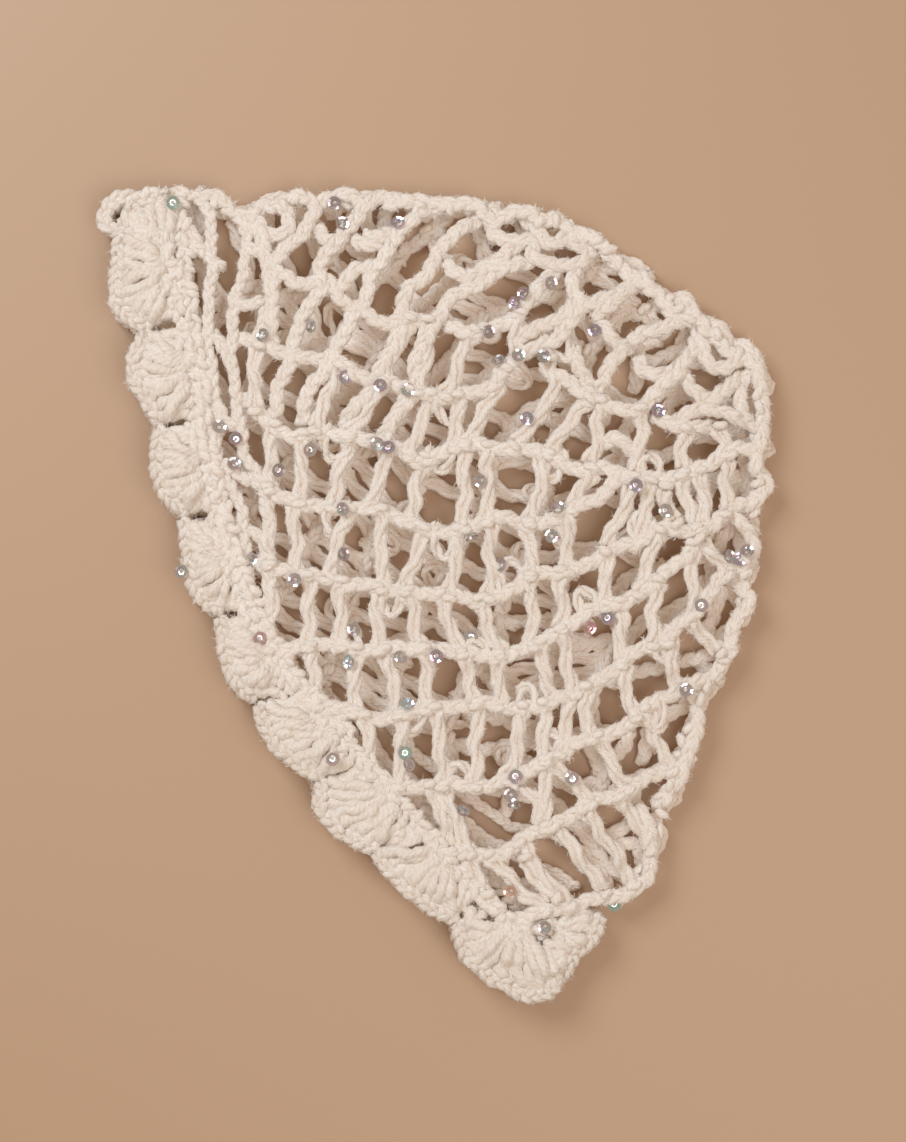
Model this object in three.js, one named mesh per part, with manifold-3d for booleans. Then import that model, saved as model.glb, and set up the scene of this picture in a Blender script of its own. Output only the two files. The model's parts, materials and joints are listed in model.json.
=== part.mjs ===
import * as THREE from "three";
import { TessellateModifier } from "three/addons/modifiers/TessellateModifier.js";
import { mergeVertices } from "three/addons/utils/BufferGeometryUtils.js";
import Module from "manifold-3d";

// An open-mesh crocheted beanie, lying flat and folded in two layers.
// Millimetres: x runs along the brim, y from the brim to the crown, z is up.

// Driving dimensions
const wall = 3.6; // thickness of one layer of the net and of a shell
const pocket = 6.2; // clear height between the layers, where the head goes in
const foldGap = 2.6; // height between the layers where they turn into each other
const foldRun = 22; // distance from the fold over which the top layer rises
const foldWidth = 4.8; // width of the rope that turns along the fold
const foldBulge = 1.3; // how far the fold stands out past the layers above and below it
const knuckle = 0.9; // height of the bumps that the stitches make along the fold
const foldSteps = 60; // points along the fold
const longestEdge = 24; // longer edges of a face are split, so that the face can follow the lift
const rope = 5; // width of a row of chain stitches
const postWidth = 4; // width of a post between two rows
const postPitch = 10.4; // distance from post to post along a row
const leastHole = 2.8; // a mesh opening lower than this is closed by its stitches
const seam = 0.3; // gap between a shell and what it is worked onto
const middle = { x: 0.1, y: 56 }; // middle of the outline, which goes to the origin

// The chart that the rows are drawn on: squares from its corner, turned to the brim
const square = 2.9;
const chartTurn = THREE.MathUtils.degToRad(60.92);
const chartOrigin = { across: 31.75, down: 60 };
const station = 5; // squares between two entries of a row

// Outline of the crown: its left and right edge at each distance from the brim's chord
const sections = [
  { y: 19, left: -120.4, right: 124 },
  { y: 27, left: -121.5, right: 121 },
  { y: 38, left: -109, right: 119 },
  { y: 52, left: -106, right: 111 },
  { y: 66, left: -98, right: 97 },
  { y: 80, left: -89, right: 84 },
  { y: 95, left: -79, right: 74.5 },
  { y: 108, left: -69.5, right: 63.5 },
  { y: 118, left: -60, right: 50 },
  { y: 128, left: -41, right: 36 },
  { y: 137, left: -18, right: 21 },
  { y: 143, left: -6, right: 11 },
];
const crownTip = { x: 3.5, y: 145.6 };

// Narrow gaps between the long strands by the brim, in squares, each this wide
const slitWidth = 1;
const slits = [
  { across: 19.4, from: 25.5, to: 35, lean: 1.3 },
  { across: 21.8, from: 28.5, to: 36.5, lean: 0.3 },
  { across: 24.8, from: 26.5, to: 30, lean: 0 },
  { across: 20.6, from: 38, to: 43.5, lean: 0.5 },
  { across: 23, from: 39, to: 44, lean: 0.2 },
  { across: 22.6, from: 48, to: 53.5, lean: 1.2 },
  { across: 25, from: 51, to: 55.5, lean: 0.5 },
  { across: 25, from: 58.5, to: 62.5, lean: 0.4 },
];

// Where the shells meet along the brim; the brim bows outwards between its two ends
const shellEnds = [-119, -92, -64, -36, -8, 20, 47, 72, 98, 123];
const brimBow = { low: -20, rise: 28, reach: 105 };
const shellReach = [19, 14, 12.5, 13, 15, 15.5, 19.5, 18.5, 22];
const cornerShells = [
  { name: "left", from: { x: -122.3, y: 18.6 }, to: { x: -122.3, y: 1 }, reach: 10 },
  { name: "right", from: { x: 128, y: 4 }, to: { x: 125.4, y: 17.5 }, reach: 5.5 },
];
const fanStitches = 6; // scallops along the edge of one shell
const scallop = 0.8; // height of each scallop

// Rows of chain stitches, from brim to crown: squares down at every fifth square across
const rows = {
  fold: { from: 30, down: [20.4, 20.4, 20.8, 21, 22] },
  first: { from: 30, down: [23.9, 24.2, 25.6, 24.9, 22.6] },
  second: { from: 25, down: [26.5, 28.4, 30.1, 32.2, 30.9, 28.2, 25, 25.2] },
  third: { from: 25, down: [34.1, 35.7, 37.3, 39, 39.7, 38.1, 33.5, 30, 28.9] },
  star: { from: 55, down: [38, 39, 40, 34.5, 37] },
  fourth: { from: 25, down: [40.5, 43.2, 43.7, 45.2, 45, 44.8, 45.3, 46.5, 47.9, 46.8, 44.9] },
  fifth: { from: 25, down: [48.9, 50, 50.8, 52, 53, 51.7, 52.3, 50.5, 47.9] },
  sixth: { from: 25, down: [57, 57.2, 58.3, 58.8, 59.6, 59.3, 57.6, 55.3, 52.8, 52.9, 50] },
  seventh: { from: 25, down: [64.8, 64.7, 64.6, 65, 65.4, 65.5, 63.7, 61.5, 58.6, 55.2, 54.5] },
  eighth: { from: 30, down: [71.5, 71.5, 71.2, 70.5, 70.5, 70.6, 67.5, 64.1, 59.8, 57] },
  ninth: { from: 35, down: [76.5, 78.6, 78.6, 77.9, 75.7, 73.2, 70.3, 67.1] },
  tenth: { from: 45, down: [85.5, 85.3, 82, 79.6, 77.7, 73] },
  last: { from: 45, down: [94, 92, 90.5, 89.6, 87] },
};

// Bands of open meshes between two rows; lean is how far a post drifts across on its way down
const bands = [
  { upper: "fold", lower: "first", from: 31, to: 48, lean: 0 },
  { upper: "first", lower: "second", from: 31, to: 49, lean: -1 },
  { upper: "second", lower: "third", from: 28, to: 56, lean: -3 },
  { upper: "third", lower: "fourth", from: 28.5, to: 56, lean: -3 },
  { upper: "third", lower: "star", from: 60, to: 70, lean: 0 },
  { upper: "star", lower: "fourth", from: 58, to: 74, lean: 0 },
  { upper: "fourth", lower: "fifth", from: 27, to: 61, lean: -0.6 },
  { upper: "fourth", lower: "sixth", from: 63, to: 76, lean: -0.6 },
  { upper: "fifth", lower: "sixth", from: 27, to: 61, lean: -0.4 },
  { upper: "sixth", lower: "seventh", from: 26.5, to: 76, lean: 0 },
  { upper: "seventh", lower: "eighth", from: 30, to: 76, lean: 0 },
  { upper: "eighth", lower: "ninth", from: 35, to: 71, lean: 0.6 },
  { upper: "ninth", lower: "tenth", from: 43, to: 70, lean: 1 },
  { upper: "tenth", lower: "last", from: 46, to: 66, lean: 3 },
];

const yarn = { color: 0xe9dfd0, roughness: 0.95, metalness: 0 };
const wasm = await Module();
wasm.setup();

const lerp = THREE.MathUtils.lerp;

// Edge of the crown on one side, read from the sections
function edgeAt(side, y) {
  const next = sections.findIndex((section) => section.y >= y);
  if (next === 0) return sections[0][side];
  const low = sections[(next < 0 ? sections.length : next) - 1];
  const high = next < 0 ? { y: crownTip.y, left: crownTip.x, right: crownTip.x } : sections[next];
  return lerp(low[side], high[side], (y - low.y) / (high.y - low.y));
}

function brimAt(x) {
  return brimBow.low + brimBow.rise * (x / brimBow.reach) ** 2;
}

function brimPoint(x) {
  return new THREE.Vector2(x, brimAt(x));
}

function insideCrown(point, inset) {
  const withinSides = point.x > edgeAt("left", point.y) + inset && point.x < edgeAt("right", point.y) - inset;
  return withinSides && point.y < crownTip.y - inset && point.y > brimAt(point.x) + inset;
}

// The fold as a smooth line from the left end of the brim round the crown to the right end
function foldLine(inset) {
  const left = sections.map((section) => new THREE.Vector2(section.left + inset, section.y));
  const right = sections.map((section) => new THREE.Vector2(section.right - inset, section.y));
  const tip = new THREE.Vector2(crownTip.x, crownTip.y - inset);
  return new THREE.SplineCurve([...left, tip, ...right.reverse()]).getSpacedPoints(foldSteps);
}

const foldEdge = foldLine(0);

// The outer line of the fold, with every other point pushed out by a stitch
function knuckledFold() {
  const ends = 0.08 * foldSteps; // the fold is plain where it comes near the corner shells
  return foldEdge.map((point, i) => {
    if (i % 2 === 0 || i < ends || i > foldSteps - ends) return point.clone();
    const along = new THREE.Vector2().subVectors(foldEdge[i + 1], foldEdge[i - 1]).normalize();
    return new THREE.Vector2(point.x - along.y * knuckle, point.y + along.x * knuckle);
  });
}

function distanceToFold(x, y) {
  const here = new THREE.Vector2(x, y);
  return Math.min(...foldEdge.map((point) => point.distanceTo(here)));
}

// Underside of the top layer: low along the fold, level over the pocket and out to the brim
function topLayerHeight(x, y) {
  const rise = THREE.MathUtils.smoothstep(distanceToFold(x, y), 0, foldRun);
  return wall + lerp(foldGap, pocket, rise);
}

function chartToHat(across, down) {
  const a = (across - chartOrigin.across) * square;
  const d = (down - chartOrigin.down) * square;
  const x = a * Math.cos(chartTurn) + d * Math.sin(chartTurn);
  const y = a * Math.sin(chartTurn) - d * Math.cos(chartTurn);
  return new THREE.Vector2(x, y);
}

function rowAt(name, across) {
  const row = rows[name];
  const place = THREE.MathUtils.clamp((across - row.from) / station, 0, row.down.length - 1);
  const low = Math.min(Math.floor(place), row.down.length - 2);
  return lerp(row.down[low], row.down[low + 1], place - low);
}

// One mesh opening: four corners by its rows and posts, and a bulge into the post on each side
function meshHole(band, across) {
  const halfRope = rope / 2 / square;
  const halfPost = postWidth / 2 / square;
  const bulge = 0.25;
  const near = across + halfPost;
  const far = across + postPitch / square - halfPost;
  const top = (a) => rowAt(band.upper, a) + halfRope;
  const bottom = (a) => rowAt(band.lower, a + band.lean) - halfRope;
  const height = bottom((near + far) / 2) - top((near + far) / 2);
  if (height * square < leastHole) return null;
  const middleLeft = [near + band.lean / 2 - bulge, (top(near) + bottom(near)) / 2];
  const middleRight = [far + band.lean / 2 + bulge, (top(far) + bottom(far)) / 2];
  const corners = [
    [near, top(near)],
    middleLeft,
    [near + band.lean, bottom(near)],
    [far + band.lean, bottom(far)],
    middleRight,
    [far, top(far)],
  ];
  return corners.map(([a, d]) => chartToHat(a, d));
}

function slitHole(slit) {
  const corners = [
    [slit.across, slit.from],
    [slit.across + slit.lean, slit.to],
    [slit.across + slit.lean + slitWidth, slit.to],
    [slit.across + slitWidth, slit.from],
  ];
  return corners.map(([a, d]) => chartToHat(a, d));
}

// All openings of one layer; the layer beneath has its rows the other way round
function meshHoles(mirrored) {
  const outlines = slits.map(slitHole);
  for (const band of bands) {
    for (let across = band.from; across + postPitch / square <= band.to; across += postPitch / square) {
      const corners = meshHole(band, across);
      if (corners) outlines.push(corners);
    }
  }
  if (mirrored) outlines.flat().forEach((corner) => (corner.x = -corner.x));
  const whole = outlines.filter((corners) => corners.every((corner) => insideCrown(corner, foldWidth)));
  return whole.map((corners) => new THREE.Path(corners));
}

// A flat shape given its thickness at a height
function plate(shape, thickness, height) {
  return new THREE.ExtrudeGeometry(shape, { depth: thickness, bevelEnabled: false }).translate(0, 0, height);
}

// A flat shape given its thickness, then lifted at each point by the height there
function curvedSheet(shape, thickness, heightAt) {
  const geometry = new TessellateModifier(longestEdge, 8).modify(plate(shape, thickness, 0));
  const position = geometry.getAttribute("position");
  for (let i = 0; i < position.count; i++) {
    position.setZ(i, position.getZ(i) + heightAt(position.getX(i), position.getY(i)));
  }
  return geometry;
}

function toSolid(geometry) {
  geometry.deleteAttribute("normal");
  geometry.deleteAttribute("uv");
  const merged = mergeVertices(geometry, 1e-4);
  const vertProperties = new Float32Array(merged.getAttribute("position").array);
  const triVerts = new Uint32Array(merged.getIndex().array);
  return new wasm.Manifold(new wasm.Mesh({ numProp: 3, vertProperties, triVerts }));
}

function fromSolid(solid) {
  const mesh = solid.getMesh();
  const geometry = new THREE.BufferGeometry();
  geometry.setAttribute("position", new THREE.BufferAttribute(mesh.vertProperties, 3));
  geometry.setIndex(new THREE.BufferAttribute(mesh.triVerts, 1));
  geometry.computeVertexNormals();
  return geometry;
}

function layerShape(mirrored) {
  const outline = new THREE.Shape([...shellEnds.map(brimPoint), ...foldLine(foldBulge).reverse()]);
  outline.holes = meshHoles(mirrored);
  return outline;
}

// The net turns from one layer into the other along the fold, and is open along the brim
function crownNet() {
  const sunk = 1; // how deep the fold's rope goes into each layer
  const foldStrip = new THREE.Shape([...knuckledFold(), ...foldLine(foldWidth).reverse()]);
  const fold = toSolid(plate(foldStrip, foldGap + 2 * sunk, wall - sunk));
  const under = toSolid(plate(layerShape(true), wall, 0));
  const top = toSolid(curvedSheet(layerShape(false), wall, topLayerHeight));
  return fromSolid(under.add(fold).add(top));
}

// A fan of tall stitches worked into the brim between two points, with a scalloped edge
function shellShape(from, to, reach) {
  const along = new THREE.Vector2().subVectors(to, from);
  const halfWidth = along.length() / 2 - seam / 2;
  along.normalize();
  const outward = new THREE.Vector2(along.y, -along.x);
  const hub = new THREE.Vector2().addVectors(from, to).multiplyScalar(0.5).addScaledVector(outward, seam);
  const shape = new THREE.Shape();
  const steps = fanStitches * 4;
  for (let i = 0; i <= steps; i++) {
    const angle = Math.PI * (1 - i / steps);
    const bump = scallop * Math.abs(Math.sin((fanStitches * Math.PI * i) / steps));
    const side = Math.cos(angle) * halfWidth;
    const out = Math.sin(angle) * (reach - scallop + bump);
    const point = hub.clone().addScaledVector(along, side).addScaledVector(outward, out);
    if (i === 0) shape.moveTo(point.x, point.y);
    else shape.lineTo(point.x, point.y);
  }
  return shape;
}

const hat = new THREE.Group();

function addPiece(name, geometry) {
  const mesh = new THREE.Mesh(geometry, new THREE.MeshStandardMaterial(yarn));
  mesh.name = name;
  hat.add(mesh);
}

addPiece("crown_net", crownNet());
const layers = [
  { name: "under", height: 0 },
  { name: "top", height: wall + pocket },
];
for (const layer of layers) {
  for (let i = 0; i < shellReach.length; i++) {
    const shape = shellShape(brimPoint(shellEnds[i]), brimPoint(shellEnds[i + 1]), shellReach[i]);
    addPiece(`brim_shell_${layer.name}_${i + 1}`, plate(shape, wall, layer.height));
  }
}
for (const corner of cornerShells) {
  const from = new THREE.Vector2(corner.from.x, corner.from.y);
  const to = new THREE.Vector2(corner.to.x, corner.to.y);
  const shape = shellShape(from, to, corner.reach);
  addPiece(`brim_shell_corner_${corner.name}`, plate(shape, 2 * wall + foldGap, 0));
}

hat.position.set(-middle.x, -middle.y, 0);

export default hat;
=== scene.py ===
import json
import math

import bpy
import numpy as np
from mathutils import Euler, Matrix, Vector
from mathutils.bvhtree import BVHTree

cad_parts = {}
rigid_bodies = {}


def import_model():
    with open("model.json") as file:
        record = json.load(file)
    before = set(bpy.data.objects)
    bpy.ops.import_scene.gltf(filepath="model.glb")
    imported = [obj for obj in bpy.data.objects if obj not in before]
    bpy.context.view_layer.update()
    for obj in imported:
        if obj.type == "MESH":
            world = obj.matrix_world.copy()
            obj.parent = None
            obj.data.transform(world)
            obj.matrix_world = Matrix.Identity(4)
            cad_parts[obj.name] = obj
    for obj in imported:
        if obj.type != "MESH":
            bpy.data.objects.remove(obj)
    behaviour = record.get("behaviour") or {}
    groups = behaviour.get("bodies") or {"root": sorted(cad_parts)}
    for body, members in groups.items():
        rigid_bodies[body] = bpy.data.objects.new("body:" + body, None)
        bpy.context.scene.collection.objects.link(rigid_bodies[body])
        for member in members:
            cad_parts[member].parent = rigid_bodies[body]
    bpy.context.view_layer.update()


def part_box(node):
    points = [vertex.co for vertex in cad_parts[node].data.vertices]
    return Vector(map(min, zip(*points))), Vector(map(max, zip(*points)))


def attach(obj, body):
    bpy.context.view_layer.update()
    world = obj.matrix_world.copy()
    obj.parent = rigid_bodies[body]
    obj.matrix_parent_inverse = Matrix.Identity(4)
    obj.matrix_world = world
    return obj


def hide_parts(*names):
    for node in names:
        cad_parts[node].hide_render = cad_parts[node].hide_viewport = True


# A crocheted mesh beanie with shells round its brim, lying flat and folded in two layers.
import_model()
print("frame loaded")

mm = 0.001  # sizes are in millimetres unless a note says otherwise, and meshes are in metres
rng = np.random.default_rng(11)

# Places on the hat are charted in squares of 2.9 mm, across and down, and turned to the brim
chart = {"square": 2.9, "turn": math.radians(60.92), "origin": (31.75, 60.0), "middle": (-0.1, -56.0)}

# Underside of the top layer: where the two layers lie apart, and where they turn into each other
foldGap = 2.6
underside = {
    "open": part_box("brim_shell_top_5")[0].z / mm,
    "folded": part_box("brim_shell_under_5")[1].z / mm + foldGap,
    "run": 22,  # distance over which it rises from the fold
}

# The crown's left and right edge at each distance from the chord of the brim
crownEdges = [
    (19, -120.4, 124), (27, -121.5, 121), (38, -109, 119), (52, -106, 111), (66, -98, 97),
    (80, -89, 84), (95, -79, 74.5), (108, -69.5, 63.5), (118, -60, 50), (128, -41, 36),
    (137, -18, 21), (143, -6, 11),
]
crownTip = (3.5, 145.6)

# Rows of chain stitches from brim to fold, in squares
rowChart = {
    "crest": [(26.9, 26.9), (28.4, 27.6), (30, 28.5), (32.5, 28), (34, 30.2), (36, 30.8), (38.5, 32.5),
              (41, 32), (43.6, 32.2)],
    "first": [(23.1, 33.6), (24.4, 34), (26, 34.5), (30, 35.7), (34, 36.5), (37.5, 38.2), (40.5, 38.8),
              (43, 39.5), (46, 39.7), (48.5, 39), (50, 37.5), (51.5, 36), (54.5, 34.5), (57, 32.5),
              (58, 31), (60, 30), (62.5, 29.2), (64.5, 27.6)],
    "second": [(23.8, 39.8), (25, 40.5), (26.5, 42), (29, 43.5), (34, 43.5), (38.5, 44.5), (41.5, 46),
               (44, 45.5), (46.5, 44.5), (50, 44.8), (52.5, 45.2), (55, 45.5), (57.5, 47), (60, 47),
               (62.5, 47.5), (66.5, 48), (69, 47.2), (71, 46.2), (72.5, 45.2), (74.5, 45),
               (76.6, 44.6)],
    "third": [(24.8, 47), (26, 48.3), (28.5, 50), (32, 50.5), (34.5, 51), (38.5, 51), (42, 53),
              (46, 53), (50, 51.8), (54, 52.5), (57.5, 50.8), (60, 49.5), (62, 48), (64, 47.6)],
    "fourth": [(25, 56), (30, 57.5), (34.5, 58.2), (39, 59), (43, 59.3), (47.5, 60), (50, 59.5),
               (52, 58.5), (53.5, 57.2), (57.5, 57.1), (60, 55.7), (62, 54.5), (64, 54.2), (65, 53.5),
               (66.5, 52.8), (69, 53), (71, 52.7), (72.5, 51.5), (73.5, 50.5), (75, 50), (76.3, 49)],
    "fifth": [(23, 64.8), (28.5, 64.8), (33, 64.5), (37.5, 65), (42.5, 64.8), (47.5, 65.5), (50, 65.5),
              (52.5, 65), (54.5, 64), (57.5, 62), (60, 60.9), (62.5, 60), (64.5, 59), (66, 57.8),
              (68, 56), (69.5, 54), (70, 53)],
    "sixth": [(29, 71.8), (32, 70.5), (37.5, 71.8), (41, 71.2), (44.5, 70.6), (48, 70.3), (51, 70.8),
              (55, 70.2), (57.5, 69.3), (60, 67.8), (62, 66.5), (64, 65), (66, 64), (68, 62.5),
              (69.5, 61.2), (71, 59), (72, 57.8), (74.3, 56.5)],
    "seventh": [(36.5, 77), (40, 78.5), (45, 78.5), (48, 78.5), (51, 78), (53, 77), (54.5, 76),
                (57.5, 74.5), (60, 73.5), (62.2, 72.7), (64, 71.2), (65.5, 70.3), (67.5, 69),
                (70, 68.2), (72, 67.6)],
    "eighth": [(44, 84.5), (48, 85.5), (51, 84.8), (53, 83.5), (55, 82.5), (57.5, 81.2), (59, 80.3),
               (61.5, 79.5), (63.5, 78.5), (65.5, 77.5), (67.5, 77), (69.3, 75.2)],
    "ninth": [(50, 92.5), (54, 91.2), (57, 90.5), (60, 90), (63, 89.2), (64.9, 87.4), (65.2, 85),
              (64.5, 82), (63.5, 80.5)],
}

# Ropes along the edge of the fold and between the rows, in squares
ropeChart = {
    "topEdge": [(38.4, 19.5), (39.6, 20.2), (41.5, 19.9), (43.3, 20.2), (46.7, 20.5), (48.5, 21.2),
                (49.2, 22), (50.6, 21.4), (52.7, 21.2), (54.2, 22.1), (55.8, 21.8), (57, 22.8),
                (58.8, 23.7), (60.6, 25), (61.9, 26.4), (63.4, 27.6), (64.9, 28.9), (66.2, 30),
                (67.5, 31), (68.8, 30.8), (69.8, 32), (71.7, 34), (73.3, 35.2), (74.6, 35.6),
                (75.3, 36.7), (76.1, 37.9), (76.2, 39)],
    "secondStrand": [(51, 34.5), (53.3, 33), (56, 31.7), (57.7, 30.3)],
    "middleStrand": [(44.2, 32.2), (46.7, 33.2), (48.8, 33.2), (51, 32), (52.7, 30.3), (54.2, 28.5),
                     (56, 26.8)],
    "pillarLeft": [(57.7, 26.4), (57.4, 28.4), (57.7, 30.4), (57.5, 32.4)],
    "starRight": [(57, 38), (59.5, 40), (62, 41), (64, 40.8), (65.5, 39.5), (67.2, 37.8), (68.5, 36),
                  (69.5, 34.5), (70, 33)],
    "starLeft": [(54, 36.5), (56, 37.8), (58.5, 39.6), (60.5, 40.6)],
    "arch": [(59.8, 44.5), (61.5, 43.8), (63, 45.2), (63.5, 47)],
    "starUp": [(57.5, 34.5), (58, 37), (59, 39)],
    "starUpRight": [(59.5, 39.5), (61.2, 36.5), (62.8, 34.5)],
    "pillar": [(59.2, 32), (61.3, 30), (63.6, 28.3), (65, 28.9)],
    "pillarFoot": [(59.4, 32.2), (61.4, 34), (62.8, 34.5)],
    "leaf": [(63, 34.5), (64.6, 33.4), (66.4, 32.6), (68.4, 32), (70.4, 32.4)],
    "leafUnder": [(63.6, 35.6), (64, 37), (65.5, 37.3), (67.6, 37)],
    "garland": [(68, 37), (69.5, 39), (70.5, 40), (72, 39.5), (74.5, 37.3)],
    "garlandHigh": [(70.4, 33), (70.5, 35.5), (71.5, 36.8), (73.5, 36.5), (74.8, 35)],
    "garlandLow": [(67.2, 42.7), (69, 41.2), (70.5, 40.8), (72, 41), (73.5, 42), (76.3, 42.6)],
    "shelf": [(65, 41.8), (68, 42.7), (71.5, 42.5)],
    "rightEdge": [(75, 35), (76, 37), (76.3, 40), (76.2, 43), (76, 45), (75.7, 47), (76.5, 48),
                  (76.2, 49.5), (75, 50.5), (73.5, 50.5)],
    "rightEdgeLow": [(73.5, 50.5), (74, 52), (75.3, 54.5), (75, 56), (73.5, 57.5)],
    "rightEdgeLast": [(73, 57.8), (74.5, 59.2), (74.8, 60.5), (73.3, 63.2), (73, 64.5), (72.2, 66.5),
                      (71.2, 68.2)],
    "rightPost": [(74.5, 37.5), (74, 39.5), (74.5, 41.5), (75.5, 42.5)],
    "lowEdge": [(69, 68.5), (69.8, 71.5), (69.5, 74), (68.5, 76.5), (67, 79), (65.5, 81)],
    "diagonal1": [(27.9, 21), (28.9, 19.7), (30.4, 19.6), (31.6, 20.8), (30.2, 23.1), (28.5, 25.3),
                  (27.4, 27), (27.2, 29.9), (27.3, 32.5), (27.4, 35.2)],
    "diagonal2": [(39, 19.6), (37.8, 19.9), (36.6, 20.6), (35.4, 21.9), (34.4, 23.2), (33.4, 24.7),
                  (32.4, 26), (32, 27.5), (32, 29), (30.8, 31), (29.7, 33.5), (29, 36), (28.2, 38.5),
                  (27.5, 41), (27, 42.5)],
    "diagonal3": [(44, 20.6), (42, 21.5), (40.2, 22.7), (39.4, 24), (38.2, 26.3), (37, 28),
                  (36.5, 29.7), (35.6, 31.4), (34.5, 33.5), (33, 35.8), (31.8, 38), (30.5, 40.5),
                  (30, 42.7)],
    "diagonal4": [(48, 21.7), (45.8, 23.1), (44, 25.3), (42.3, 27.7), (40.7, 29.5), (40, 32.2),
                  (39.2, 34.5), (38, 37.5), (37, 39), (35, 41.3), (34.5, 43)],
    "diagonal5": [(53.5, 26.2), (51, 26.8), (48, 28.3), (45, 30.2), (43.7, 32), (42.7, 33.7),
                  (41.8, 35.5), (41.5, 38.8), (40, 41), (38.5, 43.5), (38, 44.8)],
    "crestLoop": [(44.2, 26), (45.3, 27.4), (46.9, 27.7), (49.2, 26.3), (51.6, 24.8), (53.3, 24.1)],
    "cup": [(31.7, 20.9), (33, 19.6), (34.8, 19.3), (36, 20.2), (35.7, 21.8)],
    "cupFoot": [(31.4, 22.4), (32.4, 23.7), (34.2, 24.2)],
    "slant1": [(35, 23.8), (37, 24.4), (39.2, 24.6)],
    "slant2": [(32.3, 29), (34.2, 28.6), (35.6, 27.2), (37.8, 26.2)],
    "slant3": [(36.2, 23.2), (38, 23.6), (39.8, 22.9)],
    "edgeLoop": [(25.6, 21.4), (26.3, 20.5), (27.4, 20.3), (28.4, 20.8), (28.8, 22), (28.4, 23.2),
                 (27.2, 23.5), (26, 22.9), (25.6, 21.8)],
    "clusterWave": [(49.2, 22.3), (49.2, 23.6), (51.4, 24.1), (53.2, 24), (53.4, 25.6), (54.3, 26.4),
                    (56, 26.7), (58, 26), (59.6, 24.8)],
    "clusterTop": [(52.4, 21.9), (53.9, 23.4), (55.4, 24.4), (56.6, 23.6), (57.8, 24.6), (59.4, 24.4)],
    "edgeBump1": [(67.2, 30.4), (68, 29.8), (69.2, 30.2), (69.8, 31.6)],
    "edgeBump2": [(70.2, 32.2), (71.2, 32.2), (72.2, 33.1), (72.6, 34.6)],
    "edgeBump3": [(73.2, 34.9), (74.2, 34.6), (75.4, 35.4), (76, 37)],
    "edgeRope": [(24.6, 20.9), (25.4, 21.3), (25.9, 22.6), (26.2, 24.4), (26.8, 26.4)],
}

# Long strands beside the brim, in squares
strandChart = {
    "hubs": [(15, 19.5), (16.5, 24), (17, 28), (18.4, 33), (19, 37.5), (19.8, 43), (20.4, 47),
             (21.8, 53), (23.4, 57.5), (25.4, 62), (27.6, 66.2), (30.4, 70.2), (33.8, 73.2),
             (37, 76.8), (40, 80.2), (42.8, 83.2), (45.4, 86.4), (48.6, 89.8), (52, 92.4), (56, 92.6)],
    "hem": [(17.6, 19.6), (18.2, 23), (18.6, 28), (19.4, 33), (20.2, 38), (20.8, 43), (21.8, 48),
            (23, 53), (24.6, 58), (26.6, 62.6), (29, 66.8), (31.8, 70), (35, 73)],
    "long0": [(17.2, 19.4), (18.4, 22.2), (19.8, 24.4), (20.8, 25.8)],
    "long1": [(19.8, 19.4), (21, 22.2), (21.2, 26.2), (21, 30.2), (20.8, 33.6), (21.2, 37), (21.6, 40),
              (21.8, 43), (22, 47), (24, 50), (24.3, 53), (25, 56)],
    "long2": [(21.6, 19.5), (23.2, 21), (24.5, 23.2), (24.6, 26.2), (23.6, 30), (23.2, 34.5),
              (23.5, 38.5), (24, 42), (24.5, 45.5), (26.2, 48), (26.8, 52), (27, 60), (26.8, 64)],
    "long3": [(25, 22), (26.4, 25), (27, 29), (26.5, 32), (25.4, 34.6)],
    "short1": [(22.6, 51.5), (23.6, 55), (24.4, 60), (24.6, 64.5)],
    "link1": [(18.6, 24.5), (20.5, 25.3), (22.5, 27)],
    "link2": [(24.4, 24.6), (25.6, 25.2), (27, 25.6)],
    "cornerEdge": [(14.6, 20), (16.2, 20.2), (17.3, 19.3), (18.7, 19.2), (20, 19.7), (21.8, 19.5),
                   (23, 20.8), (24.6, 21.6), (26, 21)],
    "link3": [(22.8, 29.5), (24.5, 30.5), (26.5, 30)],
    "link4": [(21.2, 33), (22.5, 35), (23.2, 37)],
    "link5": [(21.6, 40), (22.6, 42), (24.2, 43)],
    "link6": [(22.2, 46), (23.5, 47.2), (25.2, 48.6)],
    "link7": [(23.8, 52.5), (25.4, 53.3), (26.8, 54.5)],
    "short2": [(24.8, 56.5), (25, 60), (24.6, 64.5)],
}

# Posts between two rows: where each starts on the upper row and ends on the lower, in squares
postChart = [
    ("crest", "first", [(41, 38), (42.8, 41.8)]),
    ("first", "second", [(38.4, 34.8), (41, 38.2), (43, 41), (45.8, 45.5), (50.5, 46.5)]),
    ("second", "third", [(27.5, 27), (30.3, 30), (35, 33.3), (38.8, 37.2), (42.5, 41), (46.5, 46.5),
                         (48.7, 48.7), (54.8, 53), (59.2, 57.2)]),
    ("third", "fourth", [(26.8, 26.8), (29.4, 29.9), (35, 32.7), (38.1, 38.2), (42.5, 40.5),
                         (45.8, 45), (49, 49), (52.8, 53), (56, 56.8)]),
    ("fourth", "fifth", [(27, 27), (30.8, 30.8), (34.2, 34.2), (37.8, 37.8), (40.8, 42),
                         (44, 46.2), (48, 50), (53, 53.3), (56, 56.2), (60.5, 60.5), (65.8, 63.8)]),
    ("fifth", "sixth", [(31.2, 31.8), (35.7, 35.3), (38.5, 39.8), (42.5, 42.5), (46.2, 47.5), (49.8, 49.8),
                        (54, 55.2), (56, 57.5), (62, 62.1), (65.7, 65.2), (69.2, 69.5)]),
    ("sixth", "seventh", [(36.5, 37.2), (40, 40), (43.5, 44.2), (47.8, 47.5), (52.2, 50.8), (54.3, 54.5),
                          (57, 56), (58.5, 59), (62.2, 63.5)]),
    ("seventh", "eighth", [(43, 45), (44.5, 47), (54.5, 54.5), (55, 59), (59.8, 62.8), (64.5, 67.2)]),
]

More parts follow.
